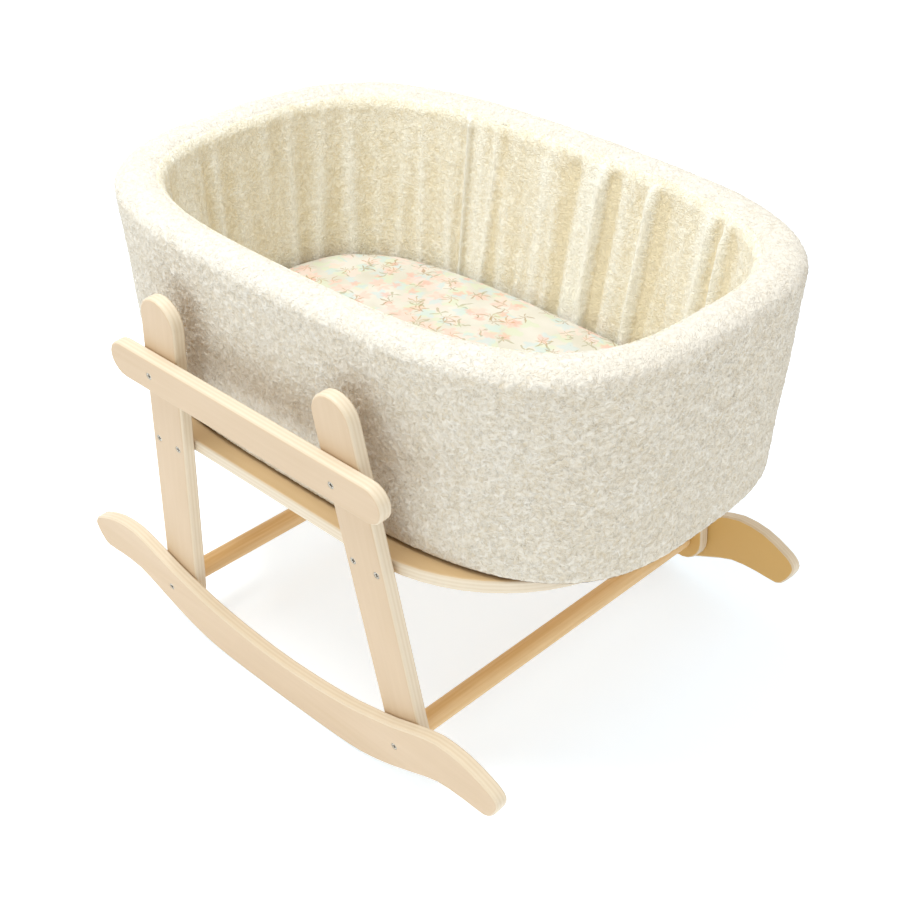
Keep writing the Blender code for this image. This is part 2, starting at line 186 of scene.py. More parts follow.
def plywood(name, along, through, middle, shade_gold_out=0.0, shade_gold_in=0.9):
    """A plywood material: figure along one direction, veneers stacked along another, painted shade gold on each
    face by the way it looks.
    """
    wood = Finish(name, WOOD_ROUGHNESS[0])
    along, through = Vector(along).normalized(), Vector(through).normalized()
    turn = Matrix((along, through.cross(along), through))
    shift = -(turn @ Vector(middle))
    there = wood.add("Mapping", {"Vector": wood.place(), "Rotation": turn.to_euler(),
                                 "Location": shift}).outputs[0]
    cloud = wood.add("Mapping", {"Vector": there, "Scale": CLOUDS}).outputs[0]
    streak = wood.add("Mapping", {"Vector": there, "Scale": STREAKS}).outputs[0]
    fibre = wood.add("Mapping", {"Vector": there, "Scale": FIBRES}).outputs[0]
    figure = wood.noise(cloud, 1.0, 3.0, 0.55, 0.8)
    lines = wood.noise(streak, 1.0, 3.0, 0.6)
    fine = wood.noise(fibre, 1.0, 1.0)
    blend = wood.math("ADD", wood.math("MULTIPLY", figure, 0.6), wood.math("MULTIPLY", lines, 0.4))
    face = wood.ramp(blend, BIRCH_LIGHT, BIRCH_DARK, 0.32, 0.72)

    level = wood.add("SeparateXYZ", {0: there}).outputs[2]
    count = wood.math("MULTIPLY", level, pi * VENEERS / PLY)
    stripe = wood.math("ADD", wood.math("MULTIPLY", wood.math("COSINE", count), 0.5), 0.5)
    ragged = wood.math("ADD", wood.math("MULTIPLY", stripe, 0.5), wood.math("MULTIPLY", lines, 0.5))
    edge = wood.ramp(ragged, EDGE_DARK, EDGE_LIGHT, 0.1, 0.7)
    normal = wood.add("TexCoord").outputs["Normal"]
    facing = wood.add("VectorMath", {0: normal, 1: through}, operation="DOT_PRODUCT").outputs["Value"]
    on_face = wood.add("MapRange", {0: wood.math("ABSOLUTE", facing), 1: FACE_FROM, 2: FACE_TO}).outputs[0]
    # Painted shade: faces that look inward take more of the deep gold than faces that look outward.
    inward_shade = wood.add("MapRange", {0: facing, 1: -0.8, 2: 0.8, 3: shade_gold_in, 4: shade_gold_out}).outputs[0]
    wood.colour(wood.mix(on_face, edge, wood.mix(inward_shade, face, SHADE_GOLD)))
    dull = wood.add("MapRange", {0: figure, 3: WOOD_ROUGHNESS[0], 4: WOOD_ROUGHNESS[1]}).outputs[0]
    wood.put(wood.shader.inputs["Roughness"], dull)
    wood.bump(wood.math("ADD", fine, wood.math("MULTIPLY", lines, 0.8)), GRAIN_DEPTH, 0.35)
    return wood.mat


print("veneers", round(1000 * PLY / VENEERS, 1), "mm thick")

# %% [markdown]
# ## Sanded copies
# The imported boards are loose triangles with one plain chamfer. Each is copied, its doubles are merged and its
# flat faces are made whole, and then the two lines of each chamfer are bevelled again. That turns the
# chamfer into the soft, sanded edge that catches the light on the real stand. Weighted normals keep the big
# faces flat where they meet the round edge.

# %% Copy a node and soften its edges
MERGE = 0.00001
FLAT_WITHIN = 0.6
CHAMFER_ANGLES = (40, 50)
body_of_node = {n: b for b, members in frame["record"]["behaviour"]["bodies"].items() for n in members}


def only(piece):
    """Selects one piece and makes it active."""
    bpy.ops.object.select_all(action="DESELECT")
    piece.select_set(True)
    bpy.context.view_layer.objects.active = piece


def finished_copy(node, name, finish, width, angles, smooth=30):
    """A merged copy of a node, its edges between two angles in degrees rounded, standing for that node."""
    source = frame["nodes"][node]
    piece = bpy.data.objects.new(name, source.data.copy())
    bpy.context.scene.collection.objects.link(piece)
    only(piece)
    bpy.ops.object.mode_set(mode="EDIT")
    bpy.ops.mesh.select_all(action="SELECT")
    bpy.ops.mesh.remove_doubles(threshold=MERGE)
    bpy.ops.mesh.dissolve_limited(angle_limit=radians(FLAT_WITHIN))
    bpy.ops.object.mode_set(mode="OBJECT")
    least, most = radians(angles[0]), radians(angles[1])
    bm = bmesh.new()
    bm.from_mesh(piece.data)
    weight = bm.edges.layers.float.new("bevel_weight_edge")
    for edge in bm.edges:
        if len(edge.link_faces) == 2:
            edge[weight] = float(least < edge.calc_face_angle(0.0) < most)
    bm.to_mesh(piece.data)
    bm.free()
    rounder = piece.modifiers.new("round", "BEVEL")
    rounder.limit_method, rounder.width, rounder.segments = "WEIGHT", width, 2
    bpy.ops.object.shade_smooth_by_angle(angle=radians(smooth))
    piece.modifiers.new("flat faces", "WEIGHTED_NORMAL").keep_sharp = True
    for modifier in list(piece.modifiers):
        bpy.ops.object.modifier_apply(modifier=modifier.name)
    piece.data.materials.clear()
    piece.data.materials.append(finish)
    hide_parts(node)
    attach(piece, body_of_node[node])
    return piece


# %% [markdown]
# ## The stand's boards
# The two side frames lean outward at the top, and the legs splay along the bassinet. A board's `through`
# direction is its frame's normal, and a leg's `along` direction follows its slant. The lean and the splay
# only turn the wood's figure here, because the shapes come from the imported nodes. The base board shows the
# same gold on both faces.

# %% Rails, rockers, legs and base board
FRAME_LEAN = radians(5.3)
LEG_SPLAY = 0.150
SANDED = 0.0011
BOARD_GOLD = 0.35

for side, sign in (("l", -1), ("r", 1)):
    out = Vector((0, sign * cos(FRAME_LEAN), -sin(FRAME_LEAN)))
    rise = Vector((0, sign * sin(FRAME_LEAN), cos(FRAME_LEAN)))
    for part in ("rail", "rocker"):
        node = f"{part}_{side}"
        low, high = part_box(node)
        wood = plywood(f"birch {node}", (1, 0, 0), out, (low + high) / 2)
        finished_copy(node, f"sanded_{node}", wood, SANDED, CHAMFER_ANGLES)
    for end, way in (("head", -1), ("foot", 1)):
        node = f"leg_{side}_{end}"
        low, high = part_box(node)
        wood = plywood(f"birch {node}", rise + Vector((-way * LEG_SPLAY, 0, 0)), out, (low + high) / 2)
        finished_copy(node, f"sanded_{node}", wood, SANDED, CHAMFER_ANGLES)
wood = plywood("birch base_board", (1, 0, 0), (0, 0, 1), board_middle, BOARD_GOLD, BOARD_GOLD)
finished_copy("base_board", "sanded_base_board", wood, SANDED, CHAMFER_ANGLES)
print("boards sanded to", 1000 * SANDED, "mm round")

# %% [markdown]
# ## The stretchers
# The two stretchers are turned beech dowel, deeper and redder than the birch, with the grain along Y. Only
# the narrow chamfer at their ends is rounded, so the shaft keeps its true diameter.

# %% Dowel stretchers
BEECH_LIGHT, BEECH_DARK = (0.82, 0.58, 0.31), (0.72, 0.47, 0.21)
DOWEL_STREAKS = (220.0, 6.0, 220.0)
DOWEL_EDGE, DOWEL_EDGE_ANGLES = 0.0004, (40, 60)

for end in ("head", "foot"):
    dowel = Finish(f"beech stretcher_{end}", 0.5)
    grain = dowel.add("Mapping", {"Vector": dowel.place(), "Scale": DOWEL_STREAKS}).outputs[0]
    lines = dowel.noise(grain, 1.0, 3.0, 0.6)
    dowel.colour(dowel.ramp(lines, BEECH_LIGHT, BEECH_DARK, 0.3, 0.7))
    dowel.bump(lines, 0.0002, 0.3)
    stretcher = finished_copy(f"stretcher_{end}", f"turned_stretcher_{end}", dowel.mat,
                              DOWEL_EDGE, DOWEL_EDGE_ANGLES)
    print(stretcher.name, round(stretcher.dimensions.y, 3), "m long")

# %% [markdown]
# ## Screws
# Sixteen countersunk cross-head screws, zinc plated and a little mottled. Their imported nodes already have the
# cross cut into the head, so a small bevel on each hard edge is enough to make it glint.

# %% Screws
ZINC_BRIGHT, ZINC_DULL = (0.56, 0.51, 0.43), (0.22, 0.19, 0.15)
SCREW_EDGE = 0.00022

zinc = Finish("zinc plate", 0.22, 1.0)
swirl = zinc.noise(zinc.place(), 900.0, 2.0)
zinc.colour(zinc.ramp(swirl, ZINC_BRIGHT, ZINC_DULL, 0.4, 0.6))
zinc.bump(swirl, 0.0003, 0.6)
screws = [n for n in sorted(body_of_node) if "screw" in n]
for node in screws:
    finished_copy(node, f"plated_{node}", zinc.mat, SCREW_EDGE, (30, 100), smooth=40)
print(len(screws), "screws")

# %% [markdown]
# ## The basket's oval
# Every layer of the basket is a ring that follows one squarish oval. `ring_points` gives one ring: so far
# in from the outside of the wall and so far up from the basket's underside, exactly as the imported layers
# were made, so the soft pieces land on their solids. The sides flare outward, more on the long sides.

# %% The oval and its rings
SQUARENESS = 3.2
SIDE_FLARE, END_FLARE = 0.0985, 0.031
WALL, ROLL_HEIGHT, FOOT_ROUND = 0.055, 0.022, 0.018
OVAL_STEPS = 8000
cover_low, cover_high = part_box("outer_cover")
RIM_MID = cover_high.z - ROLL_HEIGHT - cover_low.z
END_HALF = cover_high.x - END_FLARE * RIM_MID
SIDE_HALF = cover_high.y - SIDE_FLARE * RIM_MID

turns = np.linspace(0, 2 * pi, OVAL_STEPS + 1)
unit_oval = np.stack([np.sign(np.cos(turns)) * np.abs(np.cos(turns)) ** (2 / SQUARENESS),
                      np.sign(np.sin(turns)) * np.abs(np.sin(turns)) ** (2 / SQUARENESS)], 1)
steps = np.hypot(*np.diff(unit_oval * (cover_high.x, cover_high.y), axis=0).T)
walked = np.concatenate([[0], np.cumsum(steps)])
PERIMETER = float(walked[-1])
print("rim measures", round(PERIMETER, 2), "m round")


def ring_points(inward, height, count):
    """One ring as an array of count points; inward and height may be arrays, one value to a point."""
    at = np.linspace(0, PERIMETER, count, endpoint=False)
    u, v = np.interp(at, walked, unit_oval[:, 0]), np.interp(at, walked, unit_oval[:, 1])
    height = np.broadcast_to(np.asarray(height, float), (count,))
    return np.stack([(END_HALF + END_FLARE * height - inward) * u,
                     (SIDE_HALF + SIDE_FLARE * height - inward) * v,
                     cover_low.z + height], 1)


def rolled(half, rise, start, stop, count):
    """Stations over the rim: (inward, height), from one angle of the roll to another."""
    return [(WALL / 2 - half * cos(a), RIM_MID + rise * sin(a)) for a in np.linspace(start, stop, count)]


def spaced(stations, step):
    """The same profile with a station about every step."""
    p = np.array(stations, float)
    run = np.concatenate([[0], np.cumsum(np.hypot(*np.diff(p, axis=0).T))])
    at = np.linspace(0, run[-1], max(2, round(run[-1] / step) + 1))
    return np.stack([np.interp(at, run, p[:, 0]), np.interp(at, run, p[:, 1])], 1)


def surface_normals(grid):
    """Outward normals of a grid of rings, rows running up the outside of the wall."""
    round_way = np.roll(grid, -1, 1) - np.roll(grid, 1, 1)
    up_way = np.gradient(grid, axis=0)
    n = np.cross(round_way, up_way)
    return n / np.maximum(np.linalg.norm(n, axis=2, keepdims=True), 1e-12)


# %% [markdown]
# ## Boucle pile
# Boucle is a yarn of small loops. Seen close, the cloth is a bed of winding curls a few millimetres across,
# packed at random, with knobs between them and soft hollows between clumps. All three are made as real shape,
# because they show in the outline of the rim. The finest loops stay in the bump of the material. The noise
# that bends the curls takes its seed from the clock unless it is given one, so it is given one here.

# %% Pile height at a point
CURL, SWAY, CLUMP = 0.0070, 0.012, 0.017
BEND, NARROW = 0.0045, 3.6
KNOB = 0.8 * CURL
PILE_MID = 0.55
NOISE_SEED = 7
noise.seed_set(NOISE_SEED)


def pile(p):
    """0 in the hollows to about 1 on the curls, for a point in metres."""
    bent = p + BEND * noise.noise_vector(p / SWAY)
    curl = 1.0 - min(1.0, abs(noise.noise(bent / CURL)) * NARROW)
    near = noise.voronoi(p / KNOB)[0]
    knob = max(0.0, 1.0 - 1.25 * near[0]) ** 0.8
    clump = 0.5 + 0.5 * noise.noise(p / CLUMP)
    return 0.45 * curl + 0.25 * knob + 0.30 * clump


def pile_of(grid):
    """Pile heights of a grid of points."""
    flat = grid.reshape(-1, 3)
    return np.array([pile(Vector(p)) for p in flat]).reshape(grid.shape[:2])


def dent_of(grid, size):
    """Slow uneven waves, -1 to 1, for soft walls."""
    flat = grid.reshape(-1, 3) / size
    return np.array([noise.noise(Vector(p)) for p in flat]).reshape(grid.shape[:2])


def cloth_from_rings(name, grid, heights, capped):
    """One object from a grid of rings, with the pile heights, and the painted shade and highlight carried in
    them, kept on its points as an attribute.

    A capped skin is closed at its first and last ring by a fan of faces; the others close on themselves.
    """
    rows, count = grid.shape[:2]
    verts = grid.reshape(-1, 3)
    k = np.arange(count)
    after = (k + 1) % count
    faces = []
    for r in range(rows - 1 if capped else rows):
        a, b = r * count, ((r + 1) % rows) * count
        faces += np.stack([a + k, a + after, b + after, b + k], 1).tolist()
    if capped:
        middle = len(verts)
        verts = np.concatenate([verts, [grid[0].mean(0)], [grid[-1].mean(0)]])
        last = (rows - 1) * count
        faces += [(middle, after[i], i) for i in k.tolist()]
        faces += [(middle + 1, last + i, last + after[i]) for i in k.tolist()]
        heights = np.concatenate([heights.ravel(), [0.0, 0.0]])
    mesh = bpy.data.meshes.new(name)
    mesh.from_pydata(verts.tolist(), [], [tuple(int(i) for i in f) for f in faces])
    attribute = mesh.attributes.new("pile", "FLOAT", "POINT")
    attribute.data.foreach_set("value", np.ravel(heights).astype(np.float32))
    mesh.shade_smooth()
    piece = bpy.data.objects.new(name, mesh)
    bpy.context.scene.collection.objects.link(piece)
    print(name, len(mesh.polygons), "faces")
    return piece


# %% [markdown]
# ## Boucle and teddy finishes
# Both fabrics are matt and a little fuzzy, so they get sheen. The colour goes deeper in the hollows as painted
# shade, read from the pile heights that the mesh carries, and a fine bump of winding lines draws the loops of
# yarn between them. Slow clouds stain the whole a little, as cream wool is never quite one colour. A height
# far below zero marks the foot, where a thin dark brown line is painted as the shadow under the basket.

# %% Pile finish
# A near-black brown, painted as the shadow where the foot of the basket meets the board, and the height that
# marks it.
SHADOW_LINE_BROWN = (0.13, 0.060, 0.020)
SHADOW_LINE_MARK = -3.0
LOOP_DEPTH = 0.0011
CLOUDS_A_METRE, PATCHES_A_METRE = 9.0, 55.0


def pile_cloth(name, tip, hollow_shade, stain, loop, grain):
    """A fabric of curled loops about loop metres apart, lighter on the loops and deeper between them as painted
    shade.

    grain is how strongly the single loops show in the colour.
    """
    cloth = Finish(name, 0.95)
    where = cloth.place()
    height = cloth.add("Attribute", attribute_name="pile").outputs["Fac"]

    def curls(spacing, narrow, bend):
        """Winding lines about spacing metres apart, 1 along their middle."""
        drift = cloth.math("SUBTRACT", cloth.noise(where, 1 / spacing, 1.0, 0.5, bend), 0.5)
        off = cloth.math("MULTIPLY", cloth.math("ABSOLUTE", drift), narrow)
        return cloth.math("SUBTRACT", 1.0, off, clamp=True)

    long_curls, short_curls = curls(1.5 * loop, 8.0, 1.2), curls(0.7 * loop, 6.0, 0.7)
    yarn = cloth.math("MAXIMUM", long_curls, cloth.math("MULTIPLY", short_curls, 0.75))
    cloud = cloth.noise(where, CLOUDS_A_METRE, 2.0)
    patch = cloth.noise(where, PATCHES_A_METRE, 2.0)
    raised = cloth.math("MULTIPLY", height, 0.45)
    depth = cloth.math("ADD", raised, cloth.math("MULTIPLY", yarn, 0.45 * grain))
    depth = cloth.math("ADD", depth, cloth.math("MULTIPLY", patch, 0.35))
    plain = 1 - grain
    # Painted shade: low pile takes the deep hollow colour and the loops take the light tip colour.
    pile_shade = cloth.ramp(depth, hollow_shade, tip, 0.32 - 0.35 * plain, 0.92 - 0.65 * plain)
    above = cloth.mix(cloth.math("MULTIPLY", cloud, 0.3), pile_shade, stain)
    # Painted shadow: where the height carries that mark, the colour turns to the dark brown line.
    shadow_line = cloth.add("MapRange", {0: height, 1: SHADOW_LINE_MARK + 1.5, 2: SHADOW_LINE_MARK + 0.5}).outputs[0]
    cloth.colour(cloth.mix(shadow_line, above, SHADOW_LINE_BROWN))
    cloth.bump(yarn, LOOP_DEPTH, 0.8)
    cloth.shader.inputs["Sheen Weight"].default_value = 0.2
    cloth.shader.inputs["Sheen Roughness"].default_value = 0.5
    cloth.shader.inputs["Specular IOR Level"].default_value = 0.15
    return cloth.mat


boucle = pile_cloth("cream boucle", tip=(0.80, 0.755, 0.675), hollow_shade=(0.66, 0.57, 0.43),
                    stain=(0.73, 0.63, 0.475), loop=0.0056, grain=1.0)
teddy = pile_cloth("warm teddy", tip=(0.96, 0.94, 0.84), hollow_shade=(0.80, 0.70, 0.48),
                   stain=(0.91, 0.84, 0.66), loop=0.0045, grain=0.6)
print("finishes:", boucle.name, "and", teddy.name)

# %% [markdown]
# ## Outer cover
# The cover is one closed skin: from the middle of the underside, round the foot, up the wall, over the
# thick rolled rim to its inner shoulder, and back down behind itself. It is made as rings, because the pile
# needs an even grid finer than a curl. Only the outer run gets pile. The pile is stretched flatter over the
# roll and painted paler there, a painted highlight where the light falls on the top of the rim, and it ends
# just above the foot, where a thin dark brown line is painted as the shadow between the basket and the board.

# %% Outer cover
WEAVE = 0.0018
PILE_DEPTH = 0.0036
COVER = 0.0045
UNDER_REACH = 0.060
HEM_ROUND = 0.010
# Up to this height the foot is painted with the dark shadow line.
SHADOW_LINE_BELOW = 0.0055
SHOULDER = radians(150)
# The pile on the roll is flatter in shape, and painted paler as a highlight where the light falls on the rim.
ROLL_FLATTER, ROLL_HIGHLIGHT = 0.4, 0.65
ROLL_BLEND = 0.014
DENT, DENT_SIZE = 0.0016, 0.070
DENTS_FROM, DENTS_FULL_AFTER = 0.03, 0.05
FADE_ROWS, FOOT_CLEAR = 28.0, 0.012

foot_arc = [(HEM_ROUND * (1 - sin(a)), HEM_ROUND * (1 - cos(a))) for a in np.linspace(0, pi / 2, 10)]
over_rim = rolled(WALL / 2, ROLL_HEIGHT, 0.0, SHOULDER, 40)
outside = spaced([(UNDER_REACH, 0.0)] + foot_arc + over_rim, WEAVE)
inside = np.array(rolled(WALL / 2 - COVER, ROLL_HEIGHT - COVER, SHOULDER, 0.0, 12)
                  + [(COVER, FOOT_ROUND), (FOOT_ROUND, COVER), (UNDER_REACH, COVER)])
columns = round(PERIMETER / WEAVE)

skin = np.stack([ring_points(i, h, columns) for i, h in outside])
normals = surface_normals(skin)
heights = pile_of(skin)

up = outside[:, 1][:, None]
fade_in = np.clip(np.arange(len(outside)) / FADE_ROWS, 0, 1)[:, None]
on_roll = np.clip((up - RIM_MID) / ROLL_BLEND, 0, 1)
above_foot = np.clip(up / FOOT_CLEAR, 0, 1)
dents = DENT * dent_of(skin, DENT_SIZE) * np.clip((up - DENTS_FROM) / DENTS_FULL_AFTER, 0, 1)
loops = PILE_DEPTH * (1 - ROLL_FLATTER * on_roll) * (heights - PILE_MID) * above_foot * fade_in
skin = skin + normals * (loops + dents)[:, :, None]
back = np.stack([ring_points(i, h, columns) for i, h in inside])
# Painted highlight: the heights that the colour reads are raised over the roll, so the top of the rim shows
# paler.
heights = heights + ROLL_HIGHLIGHT * on_roll
# Painted shadow: the lowest rows get the mark that draws the thin dark brown line under the basket.
heights[outside[:, 1] < SHADOW_LINE_BELOW] = SHADOW_LINE_MARK
heights = np.concatenate([heights, np.zeros(back.shape[:2])])
cover = cloth_from_rings("boucle_cover", np.concatenate([skin, back]), heights, True)
cover.data.materials.append(boucle)
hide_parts("outer_cover")
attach(cover, "basket")

# %% [markdown]
# ## Lining
# The lining is gathered teddy fabric. Its gathers are soft upright folds, a ridge with a hollow beside it,
# at uneven spacings; most stand on the mattress and die out as they rise, some start under the rim. A few
# deeper ones are placed one by one on the far long side, where the real cloth has been pulled up, and one seam
# stands out there as a thin upright welt. `fold_depth` adds up all the folds that pass a point.

# %% Folds along the lining
random = np.random.default_rng(7)
SEAM_X = -0.206
LINING_WEAVE, INNER_SHARE = 0.0020, 0.86
# Each listed fold: its place along X, its width, and how far it stands inward.
PLACED_FOLDS = ((0.057, 0.009, 0.0105), (0.150, 0.009, 0.0105), (0.004, 0.012, -0.0045),
                (-0.050, 0.012, 0.0035), (-0.155, 0.008, 0.0040), (0.275, 0.007, 0.0060),
                (0.315, 0.006, 0.0060))
PLACED_SLANT, PLACED_REACH = -0.07, 1.35
WALL_RISE, DIE_OUT = 0.2, 0.45
lining_count = round(PERIMETER * INNER_SHARE / LINING_WEAVE)


def along_of(x, y):
    """Distance along the rim of the ring point nearest to (x, y)."""
    return float(walked[int(np.argmin(np.hypot(unit_oval[:, 0] * cover_high.x - x,
                                               unit_oval[:, 1] * cover_high.y - y)))])


seam_at = along_of(SEAM_X, cover_high.y)
folds = []
place = 0.0
while place < PERIMETER - 0.02:
    folds.append((place, random.uniform(0.008, 0.018), random.uniform(0.0012, 0.0036),
                  random.uniform(-0.08, 0.08), random.uniform(0.7, 1.4), random.random() < 0.3))
    place += random.uniform(0.028, 0.060)
for x, width, depth in PLACED_FOLDS:
    folds.append((along_of(x, cover_high.y), width, depth, PLACED_SLANT, PLACED_REACH, False))
print(len(folds), "folds")


def wrapped(run):
    """A run along the rim, taken the short way round."""
    return (run + PERIMETER / 2) % PERIMETER - PERIMETER / 2


def fold_depth(at, share):
    """How far the lining stands inward at distances along the rim and a share of its height."""
    total = np.zeros_like(at)
    for place, width, depth, slant, reach, hangs in folds:
        off = wrapped(at - place - slant * (share - 0.5) * WALL_RISE)
        grown = np.clip((reach - (1 - share if hangs else share)) / DIE_OUT, 0, 1)
        ridge = np.exp(-(off / width) ** 2) - 0.6 * np.exp(-((off + 2.2 * width) / (1.7 * width)) ** 2)
        total = total + depth * grown * ridge
    return total


# %% [markdown]
# The lining's rings run up the wall and over to where the cover's shoulder hides its edge, and then back down
# behind, so that the cloth has a thickness. The folds stay shallow beside the mattress and may stand out more
# where the wall flares away from it. A ridge catches the light and a hollow loses it, so the folds are also
# written into the pile heights that the colour reads, as painted highlight on the ridges and painted shade in
# the hollows, and the seam's welt gets a painted highlight too.

# %% Lining
LINING_FACE, LINING_BACK = 0.0556, 0.0510
LINING_FOOT = 0.0138
TUCK = radians(137)
SEAM_WIDTH, SEAM_DEPTH = 0.0030, 0.0055
PUCKER, PUCKER_OFF, PUCKER_WIDTH = 0.0028, 0.009, 0.005
DEEPEST, PROUDEST, FREE_FROM = -0.0030, 0.0060, 0.055
FADE_ABOVE_RIM, FADE_RUN = 0.014, 0.034
TEDDY_DEPTH, TEDDY_SIZE, ROW_STEP = 0.0015, 0.92, 0.0024
# How much of a fold's depth is drawn as painted shade and highlight: full at this depth, no darker or paler
# than these; and how much painted highlight the welt gets.
SHADE_FULL, SHADE_DARK, SHADE_PALE, WELT_HIGHLIGHT = 0.005, -0.9, 1.0, 1.4
PILE_SHARE, SHADE_SHARE = 0.6, 0.9

up_wall = [(LINING_FACE, LINING_FOOT), (LINING_FACE, RIM_MID - 0.012)]
shoulder = rolled(WALL / 2 + 0.0012, ROLL_HEIGHT + 0.0006, pi, TUCK, 12)
face = spaced(up_wall + shoulder, ROW_STEP)
at = np.linspace(0, PERIMETER, lining_count, endpoint=False)
shares = (face[:, 1] - LINING_FOOT) / (face[-1, 1] - LINING_FOOT)
wall_fade = np.clip((RIM_MID + FADE_ABOVE_RIM - face[:, 1]) / FADE_RUN, 0, 1)
side_room = SIDE_FLARE * np.clip(face[:, 1] - FREE_FROM, 0, 1) * 0.8
sideways = np.interp(at, walked, np.abs(unit_oval[:, 1])) ** 3
from_seam = wrapped(at - seam_at)
welt = np.exp(-(from_seam / SEAM_WIDTH) ** 2)
pucker = np.exp(-((np.abs(from_seam) - PUCKER_OFF) / PUCKER_WIDTH) ** 2)
rings, shades = [], []
for (inward, height), share, fade, room in zip(face, shares, wall_fade, side_room):
    gather = fold_depth(at, share) * fade
    depth = gather + SEAM_DEPTH * welt * min(1.0, fade * 2) - PUCKER * pucker * fade
    depth = np.clip(depth, DEEPEST, PROUDEST + room * sideways)
    rings.append(ring_points(inward + depth, height, lining_count))
    # Painted shade and highlight from the folds, and a painted highlight on the welt.
    shades.append(np.clip(gather / SHADE_FULL, SHADE_DARK, SHADE_PALE) + WELT_HIGHLIGHT * welt * fade)
skin = np.stack(rings)
normals = -surface_normals(skin)
heights = pile_of(skin * TEDDY_SIZE)
edge_fade = np.clip((len(face) - 1 - np.arange(len(face))) / 3.0, 0, 1)[:, None]
skin = skin + normals * (TEDDY_DEPTH * (heights - PILE_MID) * edge_fade)[:, :, None]
heights = PILE_SHARE * heights + SHADE_SHARE * np.stack(shades)
behind = [(LINING_BACK - 0.006, RIM_MID + 0.010), (LINING_BACK, RIM_MID - 0.010),
          (LINING_BACK, LINING_FOOT)]
back = np.stack([ring_points(i, h, lining_count) for i, h in behind])
heights = np.concatenate([heights, np.zeros(back.shape[:2])])
lining = cloth_from_rings("teddy_lining", np.concatenate([skin, back])[::-1], heights[::-1], False)
lining.data.materials.append(teddy)
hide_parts("lining")
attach(lining, "basket")

# %% [markdown]
# ## Mattress
# A thin foam pad in a cotton case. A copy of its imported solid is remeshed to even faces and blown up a
# little by cloth pressure, which rounds the sides the way a stuffed case does. The copy is first drawn in a
# little, and how far a point may move is capped, so the pad stays inside the lining. The top then gets a low
# crown and small rumples.

# %% Mattress shape
EVEN_FACES = 0.0055
SHRINK, HALF_WIDTH = 0.0020, 0.2
PRESSURE, SWELL_FRAMES, SWELL_CAP = 4.0, 20, 0.0022
CROWN, RUMPLE = 0.004, 0.0009
WIDE_RUMPLE, FINE_RUMPLE = 0.045, 0.02

mattress_low, mattress_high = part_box("mattress")
source = frame["nodes"]["mattress"]
mattress = bpy.data.objects.new("printed_mattress", source.data.copy())
bpy.context.scene.collection.objects.link(mattress)
only(mattress)
bpy.ops.object.mode_set(mode="EDIT")
bpy.ops.mesh.select_all(action="SELECT")
bpy.ops.mesh.remove_doubles(threshold=MERGE)
bpy.ops.object.mode_set(mode="OBJECT")
remesh = mattress.modifiers.new("even", "REMESH")
remesh.mode, remesh.voxel_size = "VOXEL", EVEN_FACES
bpy.ops.object.modifier_apply(modifier=remesh.name)


def points_of(piece):
    """The piece's points as an array, three numbers to a row."""
    flat = np.empty(len(piece.data.vertices) * 3)
    piece.data.vertices.foreach_get("co", flat)
    return flat.reshape(-1, 3)


start = points_of(mattress)
middle = np.array((mattress_low + mattress_high) / 2)
start[:, :2] *= 1 - SHRINK / HALF_WIDTH
mattress.data.vertices.foreach_set("co", start.ravel())
swell = mattress.modifiers.new("swell", "CLOTH")
swell.settings.use_pressure = True
swell.settings.uniform_pressure_force = PRESSURE
swell.settings.effector_weights.gravity = 0.0
for frame_number in range(1, SWELL_FRAMES + 1):
    bpy.context.scene.frame_set(frame_number)
bpy.ops.object.modifier_apply(modifier=swell.name)
bpy.context.scene.frame_set(1)
moved = points_of(mattress) - start
length = np.linalg.norm(moved, axis=1, keepdims=True)
moved *= np.minimum(1.0, SWELL_CAP / np.maximum(length, 1e-9))
start = start + moved
lengthwise = (start[:, 0] - middle[0]) / (mattress_high.x - middle[0])
crosswise = (start[:, 1] - middle[1]) / (mattress_high.y - middle[1])
crown = CROWN * np.clip(1 - lengthwise ** 2, 0, 1) * np.clip(1 - crosswise ** 2, 0, 1)
rumple = np.array([noise.noise(Vector(p) / WIDE_RUMPLE) + 0.5 * noise.noise(Vector(p) / FINE_RUMPLE)
                   for p in start])
top = np.clip((start[:, 2] - middle[2]) / (mattress_high.z - middle[2]), 0, 1)
start[:, 2] += top * (crown + RUMPLE * rumple)
start[:, 2] = np.maximum(start[:, 2], mattress_low.z)
mattress.data.vertices.foreach_set("co", start.ravel())
even = mattress.modifiers.new("smooth", "SUBSURF")
even.levels = even.render_levels = 1
bpy.ops.object.modifier_apply(modifier=even.name)
mattress.data.shade_smooth()
print("mattress", len(mattress.data.polygons), "faces")

# %% [markdown]
# ## Printed cotton
# The case is off-white cotton with a small scattered print: soft pink blossoms, leaves in sage and grey-blue,
# and brown sprigs. The print is laid flat on the top and folded down over the sides, so a point on a side
# takes the place it would have if the cloth were lifted level. A fine ripple keeps the petals from looking
# ruled.

# %% Lay the print flat
RIPPLE, RIPPLES_A_METRE = 0.011, 75.0

cotton = Finish("sprigged cotton", 0.9)
ripple = cotton.add("TexNoise", {"Vector": cotton.place(), "Scale": RIPPLES_A_METRE, "Detail": 2.0})
ripple = cotton.add("VectorMath", {0: ripple.outputs["Color"], "Scale": RIPPLE}, operation="SCALE").outputs[0]
level = cotton.add("SeparateXYZ", {0: cotton.place()}).outputs[2]
outward = cotton.add("Mapping", {"Vector": cotton.place(), "Scale": (1.0, 1.0, 0.0)}).outputs[0]
outward = cotton.add("VectorMath", {0: outward}, operation="NORMALIZE").outputs[0]
drop = cotton.math("SUBTRACT", mattress_high.z, level)
folded = cotton.add("VectorMath", {0: outward, "Scale": drop}, operation="SCALE").outputs[0]
wavy = cotton.add("VectorMath", {0: cotton.place(), 1: ripple}, operation="ADD").outputs[0]
wavy = cotton.add("VectorMath", {0: wavy, 1: folded}, operation="ADD").outputs[0]
